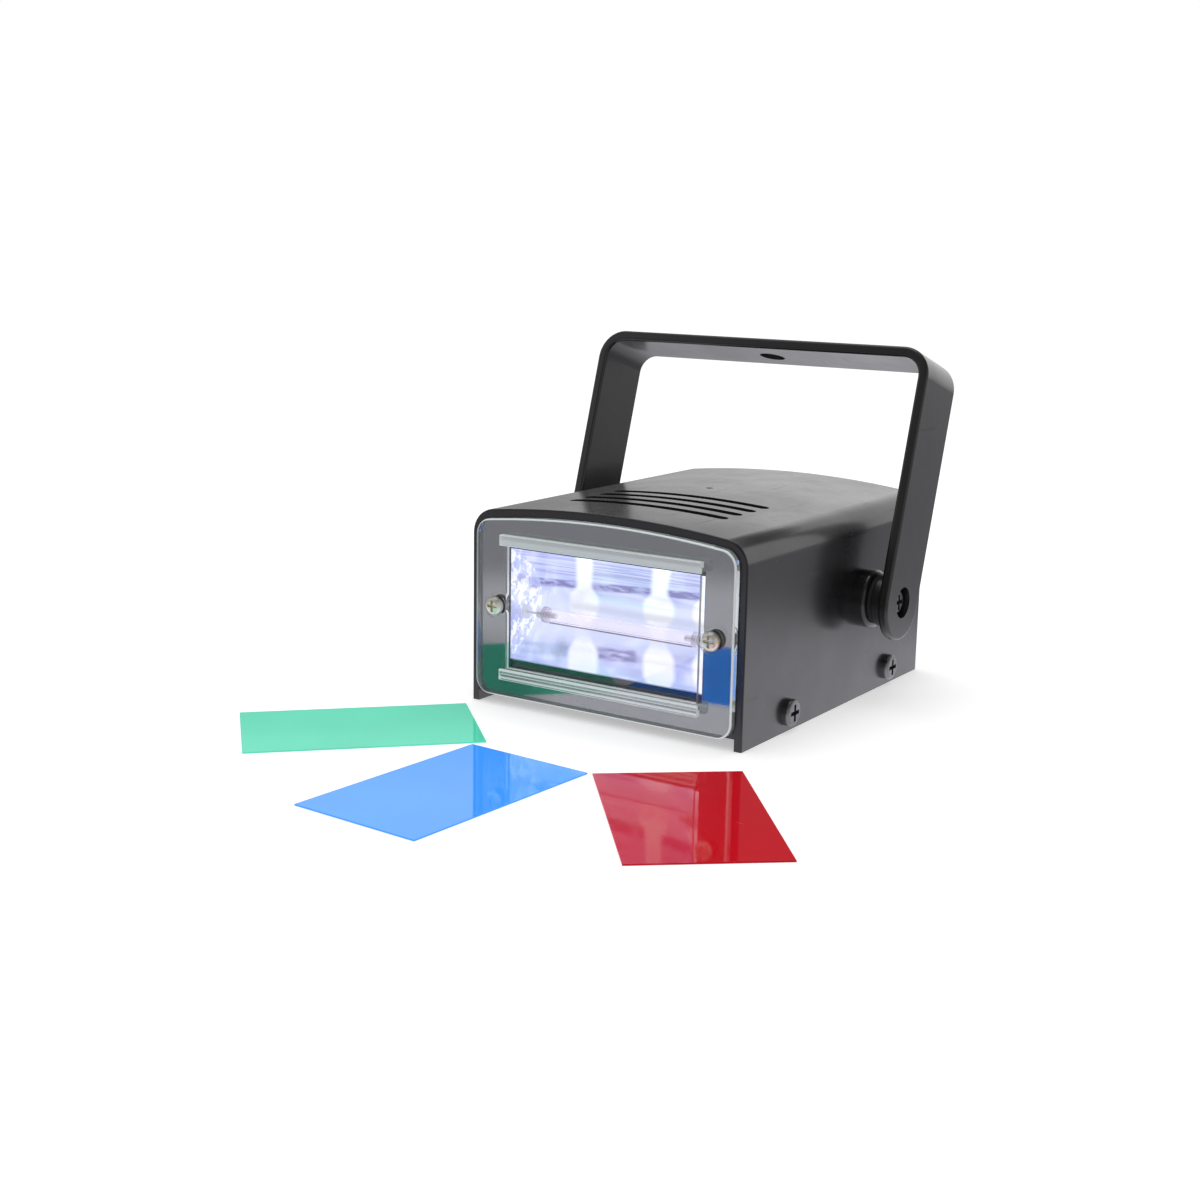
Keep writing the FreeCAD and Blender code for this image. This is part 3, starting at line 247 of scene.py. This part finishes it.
def plain(name, base, rough, size=3.0, **values):
    """A simple moulded, printed or rubber finish with a little mottling of that size."""
    made = Shader(name, **values)
    grain = made.noise(size, 3.0)
    deep = tuple(c * 0.78 for c in base)
    made.set("Base Color", made.mixed(made.between(grain, 0.3, 0.7), base, deep))
    made.set("Roughness", made.between(grain, 0.3, 0.7, rough - 0.05, rough + 0.06))
    made.bump((grain, MOTTLING))
    return made.material


def tube_glass():
    """The tube's clear glass with faint handling marks and the glow of the gas inside."""
    made = Shader("tube_glass", Transmission_Weight=1.0, IOR=1.10, Emission_Strength=0.05)
    made.surface.inputs["Emission Color"].default_value = (1.0, 0.88, 0.95, 1.0)
    made.surface.inputs["Base Color"].default_value = (0.99, 0.95, 0.97, 1.0)
    made.set("Roughness", made.between(made.handling_marks(), 0.0, 1.0, 0.01, 0.06))
    made.bump((made.noise(30.0, 1.0), 0.002))
    return made.material


# The clear panel's rails stand this far in front of its face. The lower one is clearer than the upper
# one, apart from its two light lines, which are more matt and carry more painted glow
RAIL_PROUD = 1.9
RAIL_MATT = 0.5
LOWER_RAIL_EDGE = (13.2, 13.0)
LOWER_RAIL_MATT = 0.2
LINE_PLACES = (12.35, 10.1)
LINE_HALF = (0.2, 0.5)
LINE_MATT = 0.75


def rail_matt_and_glow(made, height):
    """How matt the rails look at that height. The same share sets their painted glow."""
    lower = made.fade(height, LOWER_RAIL_EDGE)
    line = made.near(height, LINE_PLACES, LINE_HALF)
    change = made.between(line, 0.0, 1.0, LOWER_RAIL_MATT - RAIL_MATT, LINE_MATT - RAIL_MATT)
    return made.math("ADD", made.math("MULTIPLY", lower, change), RAIL_MATT)


def edge_matt_and_glow(made, behind):
    """How matt the edges look, which also sets their painted glow. The panel's own sides, which lie
    behind the rails, are clearer.
    """
    squarely = made.squarely(1)
    edge = made.between(squarely, 0.985, 0.9)
    own = made.between(behind, 1.0, 1.03)
    side = made.math("MULTIPLY", own, made.between(squarely, 0.35, 0.05, 0.0, 0.75))
    return made.math("MULTIPLY", edge, made.math("SUBTRACT", 1.0, side))


def clear_panel():
    """Clear moulded plastic, polished on its flat faces. Its matt edges and rails carry a painted
    glow.
    """
    made = Shader("clear_panel", IOR=1.49, Emission_Strength=1.0)
    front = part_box("front_panel")[0].y
    place = made.split(made.place)
    behind = made.math("DIVIDE", made.math("SUBTRACT", place[1], front), RAIL_PROUD * MM)
    rails = made.math("MULTIPLY", made.between(behind, 0.97, 0.9), rail_matt_and_glow(made, place[2]))
    matt = made.math("MAXIMUM", edge_matt_and_glow(made, behind), rails)
    made.set("Base Color", made.mixed(matt, (0.97, 0.98, 0.99), (0.58, 0.61, 0.60)))
    # Painted glow on the matt edges, the rails and their two lines
    made.set("Emission Color", made.mixed(matt, (0.0, 0.0, 0.0), (0.20, 0.22, 0.22)))
    made.set("Transmission Weight", made.between(matt, 0.0, 1.0, 1.0, 0.3))
    worn = made.between(made.handling_marks(), 0.0, 1.0, 0.015, 0.06)
    made.set("Roughness", made.math("MAXIMUM", worn, made.math("MULTIPLY", matt, 0.4)))
    made.bump((made.noise(30.0, 1.0), 0.006))
    return made.material


def film(name, base, glow, ior=1.45):
    """Dyed film, glossy on both sides, with faint creases and scuffs. It carries a painted glow in its
    own colour, at the given strength.
    """
    made = Shader(name, IOR=ior, Transmission_Weight=0.2, Emission_Strength=glow)
    made.surface.inputs["Emission Color"].default_value = (*base, 1.0)
    deep = tuple(c * 0.92 for c in base)
    scuff = made.between(made.noise((9.0, 1.1, 1.0), 3.0), 0.68, 0.78)
    tone = made.mixed(made.between(made.noise(40.0, 2.0), 0.35, 0.65), base, deep)
    made.set("Base Color", made.mixed(made.math("MULTIPLY", scuff, 0.06), tone, (0.9, 0.9, 0.9)))
    made.set("Roughness", made.between(scuff, 0.0, 1.0, 0.05, 0.18))
    made.bump((made.noise(46.0, 1.0), 0.02), (made.noise(7.0, 1.0), 0.0015))
    return made.material


# Marks in the trough, in millimetres. Painted reflections of lamps cross it aslant as bands of light,
# with two wider painted highlight spots on each and a paler stretch between them
BAND_SIDE = (0.834, 0.552, 0.0)
BAND_PLACES = (-39.8, -16.8, -2.0)
BAND_HALF = (1.4, 3.4)
SPOT_HEIGHTS = (33.0, 17.8)
SPOT_HALF = (1.5, 6.0)
SPOT_SPREAD = 2.2
PALE_PLACES = (25.4,)
PALE_HALF = (0.5, 4.5)
PALE_SHARE = 0.35

# Two painted dark rows, a painted dark reflection, run along it. The lower one is faint but for a
# stretch between two bands
ROW_SIDE = (-0.055, 0.0, 1.0)
ROW_PLACES = (39.0, 19.8)
ROW_HALF = (0.9, 1.9)
LOWER_ROW_EDGE = (27.0, 26.0)
CLEAR_PLACES = (-29.5,)
CLEAR_HALF = (4.5, 7.5)
FAINTNESS = (0.75, 0.1)

# Its middle has a brighter painted glow, and its crown has fine streaks in its painted glow
MIDDLE_PLACES = (28.6,)
MIDDLE_HALF = (4.0, 9.0)
CROWN_EDGE = (40.5, 43.0)


def painted_light_bands(made, across, height):
    """1 in the painted bands of light, less in their paler stretch, and 0 outside them."""
    spot = made.near(height, SPOT_HEIGHTS, SPOT_HALF)
    band = made.near(across, BAND_PLACES, BAND_HALF, made.math("MULTIPLY", spot, SPOT_SPREAD * MM))
    pale = made.near(height, PALE_PLACES, PALE_HALF)
    return made.math("MULTIPLY", band, made.between(pale, 0.0, 1.0, 1.0, PALE_SHARE))


def painted_dark_rows(made, across, height):
    """How much of the ragged painted dark rows shows, from 0 to 1."""
    row = made.near(height, ROW_PLACES, ROW_HALF)
    lower = made.fade(height, LOWER_ROW_EDGE)
    faint = made.between(made.near(across, CLEAR_PLACES, CLEAR_HALF), 0.0, 1.0, *FAINTNESS)
    row = made.math("MULTIPLY", row, made.math("SUBTRACT", 1.0, made.math("MULTIPLY", lower, faint)))
    ragged = made.between(made.noise((5.0, 3.0, 1.1), 3.0), 0.38, 0.6, 0.45, 1.0)
    return made.math("MULTIPLY", row, ragged)


def reflector_sheet():
    """Bright reflector sheet, rolled along its length and creased at its ends. Its emission is a
    painted glow, and its marks of light and dark are painted light and shade.
    """
    made = Shader("bright_reflector", Metallic=1.0, Emission_Strength=1.0)
    across = made.along(made.place, BAND_SIDE)
    height = made.along(made.place, ROW_SIDE)
    roll = made.noise((60.0, 1.6, 1.6), 2.0)
    dent = made.noise((11.0, 6.0, 6.0), 1.0)
    swirl = made.noise(3.4, 2.0, 0.6)
    streak = made.between(made.noise((30.0, 2.0, 0.8), 2.0), 0.42, 0.58)
    end = made.between(made.squarely(0), 0.5, 0.9)
    trough = made.math("SUBTRACT", 1.0, end)
    middle = made.math("MULTIPLY", made.near(height, MIDDLE_PLACES, MIDDLE_HALF), trough)
    crown = made.math("MULTIPLY", made.fade(height, CROWN_EDGE), trough)
    crown_glow = made.mixed(streak, (0.16, 0.16, 0.31), (0.38, 0.40, 0.52))
    row = made.math("MULTIPLY", painted_dark_rows(made, across, height), trough)
    # Painted highlights on the creases at the ends
    crease_highlight = made.math("MULTIPLY", made.between(swirl, 0.44, 0.56), end)
    light = made.math("MAXIMUM", painted_light_bands(made, across, height), crease_highlight)
    patch = made.between(dent, 0.35, 0.68)
    # The sheet's tone varies in patches, and so does its painted glow
    sheet = made.mixed(patch, (0.48, 0.51, 0.60), (0.40, 0.43, 0.56))
    glow = made.mixed(patch, (0.37, 0.40, 0.56), (0.24, 0.26, 0.43))
    # Painted light and shade on the middle, the crown, the dark rows, the bands and the creases, in
    # both the base colour and the glow
    for share, sheet_tone, glow_tone in (
        (middle, (0.25, 0.27, 0.32), (0.57, 0.61, 0.82)),
        (crown, (0.36, 0.37, 0.48), crown_glow),
        (row, (0.19, 0.18, 0.30), (0.09, 0.08, 0.20)),
        (light, (0.60, 0.61, 0.64), (0.62, 0.63, 0.70)),
    ):
        sheet = made.mixed(share, sheet, sheet_tone)
        glow = made.mixed(share, glow, glow_tone)
    made.set("Base Color", sheet)
    made.set("Emission Color", glow)
    made.set("Roughness", made.between(dent, 0.35, 0.7, 0.16, 0.24))
    made.bump((dent, 0.05), (roll, 0.008), (made.math("MULTIPLY", swirl, end), 0.8))
    return made.material


# Where painted shade dims the mirror sheet to the left and downwards, in millimetres
DIM_LEFT = (-14.0, -32.0)
DIM_LOW = (27.0, 15.0)


def dark_mirror():
    """Dark mirror sheet, slightly wavy, with painted shade that dims it towards its lower left corner.
    """
    made = Shader("mirror_sheet", Metallic=1.0)
    place = made.split(made.place)
    # Painted shade in the lower left corner
    corner = made.math("MULTIPLY", made.fade(place[0], DIM_LEFT), made.fade(place[2], DIM_LOW))
    made.set("Base Color", made.mixed(corner, (0.297, 0.30, 0.304), (0.156, 0.16, 0.164)))
    made.set("Roughness", made.between(made.noise(9.0, 4.0, 0.6), 0.3, 0.75, 0.04, 0.065))
    made.bump((made.noise(16.0, 1.0), 0.012))
    return made.material


# The trigger wire's turns end this far in from its ends, in millimetres
TURNS_EDGE = (2.6, 2.2)


def wire_metal():
    """Thin wire, dull along its run and bright in the turns round the tube's ends."""
    made = Shader("trigger_metal", Metallic=1.0, Roughness=0.3)
    wire_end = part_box("trigger_wire")[1].x / MM
    aside = made.math("ABSOLUTE", made.split(made.place)[0])
    turns = made.fade(aside, [wire_end - edge for edge in TURNS_EDGE])
    made.set("Base Color", made.mixed(turns, (0.40, 0.33, 0.34), (0.86, 0.84, 0.90)))
    made.bump((made.noise(0.5, 2.0), BRUSHING))
    return made.material


MATERIALS = {
    "black_cover": moulded_black("black_cover", (0.007, 0.007, 0.008), 0.30),
    "black_tray": moulded_black("black_tray", (0.009, 0.009, 0.010), 0.42, 0.3),
    "bracket_black": moulded_black("bracket_black", (0.0088, 0.0078, 0.0070), 0.33, 0.22, 0.0016),
    "knob_plastic": moulded_black("knob_plastic", (0.009, 0.009, 0.010), 0.4, 0.3),
    "gland_nylon": moulded_black("gland_nylon", (0.012, 0.012, 0.013), 0.38, 0.35),
    "gloss_black": moulded_black("gloss_black", (0.006, 0.006, 0.007), 0.12, 0.06, 0.0002),
    "rubber_black": plain("rubber_black", (0.014, 0.014, 0.014), 0.75, 0.8),
    "clear_panel": clear_panel(),
    "mirror_sheet": dark_mirror(),
    "bright_reflector": reflector_sheet(),
    "tube_glass": tube_glass(),
    "electrode": metal("electrode", (0.86, 0.85, 0.88), 0.3),
    "trigger_metal": wire_metal(),
    # The silicone's lavender emission is a painted glow
    "silicone": plain(
        "silicone",
        (0.85, 0.85, 0.88),
        0.5,
        Emission_Strength=0.35,
        Emission_Color=(0.85, 0.87, 1.0, 1.0),
    ),
    "red_lead": plain("red_lead", (0.45, 0.02, 0.02), 0.5),
    "black_lead": plain("black_lead", (0.02, 0.02, 0.02), 0.5),
    "white_lead": plain("white_lead", (0.7, 0.7, 0.68), 0.5),
    "board": plain("board", (0.03, 0.16, 0.06), 0.35, 6.0),
    "capacitor_sleeve": plain("capacitor_sleeve", (0.02, 0.03, 0.12), 0.3, 5.0),
    "film_case": plain("film_case", (0.38, 0.04, 0.02), 0.35, 5.0),
    "resistor_ceramic": plain("resistor_ceramic", (0.75, 0.73, 0.67), 0.8, 0.8),
    "coil_tape": plain("coil_tape", (0.6, 0.45, 0.06), 0.35, 5.0),
    "device_body": plain("device_body", (0.025, 0.025, 0.025), 0.5, 1.0),
    "fuse_glass": plain("fuse_glass", (0.7, 0.72, 0.72), 0.2, 5.0),
    "spring_brass": metal("spring_brass", (0.7, 0.55, 0.28), 0.3),
    "terminal_green": plain("terminal_green", (0.03, 0.25, 0.1), 0.45, 3.0),
    "zinc": metal("zinc", (0.62, 0.63, 0.64), 0.3),
    "yellow_zinc": metal("yellow_zinc", (0.91, 0.88, 0.75), 0.45, tint=(0.80, 0.74, 0.56)),
    "black_zinc": metal("black_zinc", (0.22, 0.22, 0.225), 0.32),
    "shaft_aluminium": metal("shaft_aluminium", (0.72, 0.72, 0.74), 0.28),
    "green_film": film("green_film", (0.09, 0.68, 0.47), 0.25),
    "blue_film": film("blue_film", (0.040, 0.32, 0.97), 0.3),
    "red_film": film("red_film", (0.51, 0.005, 0.014), 0.25, 1.3),
}


# Pieces
def dress_nodes():
    """Gives each CAD node its material by the record's slots."""
    for entry in frame["record"]["subparts"]:
        piece = frame["nodes"][entry["node"]]
        piece.data.materials.clear()
        piece.data.materials.append(MATERIALS[entry["material_slot"]])


def body_of(node):
    bodies = frame["record"]["behaviour"]["bodies"]
    return next(body for body, nodes in bodies.items() if node in nodes)


def slot_of(node):
    return next(e["material_slot"] for e in frame["record"]["subparts"] if e["node"] == node)


def take_over(piece, node):
    """Puts a new piece in a CAD node's place, on its body and with its material."""
    piece.data.materials.clear()
    piece.data.materials.append(MATERIALS[slot_of(node)])
    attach(piece, body_of(node))
    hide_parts(node)


# A hair's gap between the clear panel and the sheet behind it
SHEET_GAP = 0.08


def make_mirror_sheet():
    """The sheet behind the clear panel, with its front face a hair back from the panel."""
    low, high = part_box("face_plate")
    mesh = frame["nodes"]["face_plate"].data.copy()
    for vertex in mesh.vertices:
        if vertex.co.y < (low.y + high.y) / 2:
            vertex.co.y += SHEET_GAP * MM
    piece = bpy.data.objects.new("mirror_face", mesh)
    bpy.context.scene.collection.objects.link(piece)
    take_over(piece, "face_plate")


# The trigger wire, in millimetres, and the points on each of its turns
WIRE_RADIUS = 0.22
WIRE_TOUCH = 0.04
WIRE_TURNS = 3
WIRE_PITCH = 0.62
TURN_POINTS = 28


def make_trigger_wire():
    """The trigger wire: turns round each end of the tube, a run below it and a leg to the rear."""
    tube_low, tube_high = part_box("flash_tube")
    wire_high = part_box("trigger_wire")[1]
    axis = (tube_low + tube_high) / 2 / MM
    reach = (tube_high.z - tube_low.z) / 2 / MM + WIRE_TOUCH + WIRE_RADIUS
    coil = WIRE_TURNS * WIRE_PITCH
    outer = wire_high.x / MM
    points = []

    def wind(start_x, turns, start_angle):
        for step in range(round(turns * TURN_POINTS) + 1):
            share = step / TURN_POINTS
            angle = math.radians(start_angle) + 2 * math.pi * share
            y = axis.y + reach * math.cos(angle)
            z = axis.z + reach * math.sin(angle)
            points.append((start_x + WIRE_PITCH * share, y, z))

    wind(-outer, WIRE_TURNS, -90)
    wind(outer - coil, WIRE_TURNS + 0.25, -90)
    x, y, z = points[-1]
    rear = wire_high.y / MM
    points.append((x, (y + rear) / 2, z))
    points.append((x, rear - WIRE_RADIUS, z))
    curve = bpy.data.curves.new("trigger_turns", "CURVE")
    curve.dimensions = "3D"
    curve.bevel_depth = WIRE_RADIUS * MM
    curve.bevel_resolution = 3
    curve.use_fill_caps = True
    spline = curve.splines.new("POLY")
    spline.points.add(len(points) - 1)
    for point, place in zip(spline.points, points):
        point.co = (*(Vector(place) * MM), 1.0)
    piece = bpy.data.objects.new("trigger_turns", curve)
    bpy.context.scene.collection.objects.link(piece)
    take_over(piece, "trigger_wire")


# The floor, in millimetres. Reflections see a white sheet on it that fades out over these reaches
FLOOR_HALF = 3000.0
FLOOR_DROP = 0.06
AHEAD_SIDE = (-0.552, -0.834, 0.0)
AHEAD_REACH = (235.0, 320.0)
BEHIND_REACH = (-90.0, -215.0)
ASIDE_SIDE = (0.834, -0.552, 0.0)
RIGHT_REACH = (105.0, 175.0)
LEFT_REACH = (-120.0, -260.0)
SHEET_FADE = (0.0, 60.0)
SHEET_LEVELS = (1.0, 0.95)
SHEET_TINT = (0.975, 0.97, 1.035)
ROOM_FLOOR_FADE = (-80.0, 60.0)
ROOM_FLOOR_LEVELS = (0.53, 0.38)
FLOOR_COLOUR = 0.8
FLOOR_GLOW = 0.4

# The room that reflections see: each wall's direction, edges and level, and the plain light
ROOM_LIGHT = 0.80
ROOM_WALL = 0.32
WALLS = (
    ((0.34, 0.94, 0.0), (0.50, 0.75), 1.0),
    ((0.71, -0.71, 0.0), (0.45, 0.75), 0.60),
    ((-0.55, -0.83, 0.0), (0.45, 0.65), 0.18),
)
SIDE_WALL_EDGE = (-0.45, -0.58)
SIDE_WALL_HEIGHT = (0.25, 0.33)
SIDE_WALL_TOP = (0.42, 0.52)
CEILING_EDGE = (0.45, 0.60)
CEILING_LEVEL = 0.18
WINDOW_SIDE = (-0.34, -0.51, 0.79)
WINDOW_EDGE = (0.94, 0.975)
WINDOW_LIGHT = (0.70, 0.75, 0.98)

# The lamp, in millimetres and watts
LAMP_PLACE = (-150.0, 100.0, 900.0)
LAMP_TARGET = (0.0, -20.0, 20.0)
LAMP_SIDE = 600.0
LAMP_POWER = 2.1


def grey(level):
    return (level, level, level)


def make_floor():
    """A white floor. Reflections see a white sheet round the object and a dim floor past it."""
    mesh = bpy.data.meshes.new("floor")
    half = FLOOR_HALF * MM
    z = -FLOOR_DROP * MM
    corners = [(-half, -half, z), (half, -half, z), (half, half, z), (-half, half, z)]
    mesh.from_pydata(corners, [], [(0, 1, 2, 3)])
    floor = bpy.data.objects.new("floor", mesh)
    bpy.context.scene.collection.objects.link(floor)
    made = Shader("floor", Roughness=0.9, Specular_IOR_Level=0.0, Emission_Strength=1.0)
    ahead = made.along(made.place, AHEAD_SIDE)
    aside = made.along(made.place, ASIDE_SIDE)
    dim = None
    for value, reach in (
        (ahead, AHEAD_REACH),
        (ahead, BEHIND_REACH),
        (aside, RIGHT_REACH),
        (aside, LEFT_REACH),
    ):
        share = made.fade(value, reach)
        dim = made.math("MAXIMUM", dim, share) if dim else share
    white = made.fade(ahead, SHEET_FADE, SHEET_LEVELS)
    room = made.fade(made.split(made.place)[0], ROOM_FLOOR_FADE, ROOM_FLOOR_LEVELS)
    level = made.math("ADD", white, made.math("MULTIPLY", dim, made.math("SUBTRACT", room, white)))
    sheet = made.tinted(level, SHEET_TINT)
    camera = made.rays()["Is Camera Ray"]
    made.set("Base Color", made.mixed(camera, grey(0.0), grey(FLOOR_COLOUR)))
    made.set("Emission Color", made.mixed(camera, sheet, grey(FLOOR_GLOW)))
    floor.data.materials.append(made.material)


def make_world():
    """White to the camera, plain light on the object, and a dimmer room in its reflections."""
    world = bpy.data.worlds.new("studio")
    bpy.context.scene.world = world
    world.use_nodes = True
    made = Nodes(world.node_tree)
    place = made.node("ShaderNodeTexCoord").outputs["Generated"]
    room = grey(ROOM_WALL)
    for side, edges, level in WALLS:
        room = made.mixed(made.between(made.along(place, side), *edges), room, grey(level))
    height = made.split(place)[2]
    left = made.between(made.split(place)[0], *SIDE_WALL_EDGE)
    left = made.math("MULTIPLY", left, made.between(height, *SIDE_WALL_HEIGHT))
    left = made.math("MULTIPLY", left, made.between(height, *SIDE_WALL_TOP, 1.0, 0.0))
    room = made.mixed(left, room, grey(1.0))
    room = made.mixed(made.between(height, *CEILING_EDGE), room, grey(CEILING_LEVEL))
    window = made.between(made.along(place, WINDOW_SIDE), *WINDOW_EDGE)
    room = made.mixed(window, room, WINDOW_LIGHT)
    rays = made.rays()
    light = made.mixed(rays["Is Diffuse Ray"], room, grey(ROOM_LIGHT))
    background = world.node_tree.nodes["Background"]
    made.link(made.mixed(rays["Is Camera Ray"], light, grey(1.0)), background.inputs["Color"])


def make_lamp():
    """One large soft lamp above, which points at the object."""
    data = bpy.data.lights.new("top_softbox", "AREA")
    data.size = LAMP_SIDE * MM
    data.energy = LAMP_POWER
    lamp = bpy.data.objects.new("top_softbox", data)
    lamp.location = Vector(LAMP_PLACE) * MM
    lamp.rotation_mode = "QUATERNION"
    lamp.rotation_quaternion = (Vector(LAMP_TARGET) - Vector(LAMP_PLACE)).to_track_quat("-Z", "Y")
    bpy.context.scene.collection.objects.link(lamp)


def make_camera():
    azimuth = math.radians(CAMERA_AZIMUTH)
    elevation = math.radians(CAMERA_ELEVATION)
    level = math.cos(elevation)
    back = Vector((math.sin(azimuth) * level, -math.cos(azimuth) * level, math.sin(elevation)))
    right = Vector((math.cos(azimuth), math.sin(azimuth), 0.0))
    up = back.cross(right)
    roll = math.radians(CAMERA_ROLL)
    rolled_right = right * math.cos(roll) + up * math.sin(roll)
    rolled_up = up * math.cos(roll) - right * math.sin(roll)
    turn = Matrix((rolled_right, rolled_up, back)).transposed().to_4x4()
    place = (Vector(CAMERA_TARGET) + back * CAMERA_DISTANCE) * MM
    data = bpy.data.cameras.new("camera")
    data.lens = CAMERA_LENS
    data.sensor_width = SENSOR
    data.clip_start = 10 * MM
    data.clip_end = 20.0
    camera = bpy.data.objects.new("camera", data)
    camera.matrix_world = Matrix.Translation(place) @ turn
    bpy.context.scene.collection.objects.link(camera)
    bpy.context.scene.camera = camera


make_camera()
make_world()
make_floor()
make_lamp()
dress_nodes()
make_mirror_sheet()
make_trigger_wire()

bpy.context.scene.view_settings.view_transform = "Standard"
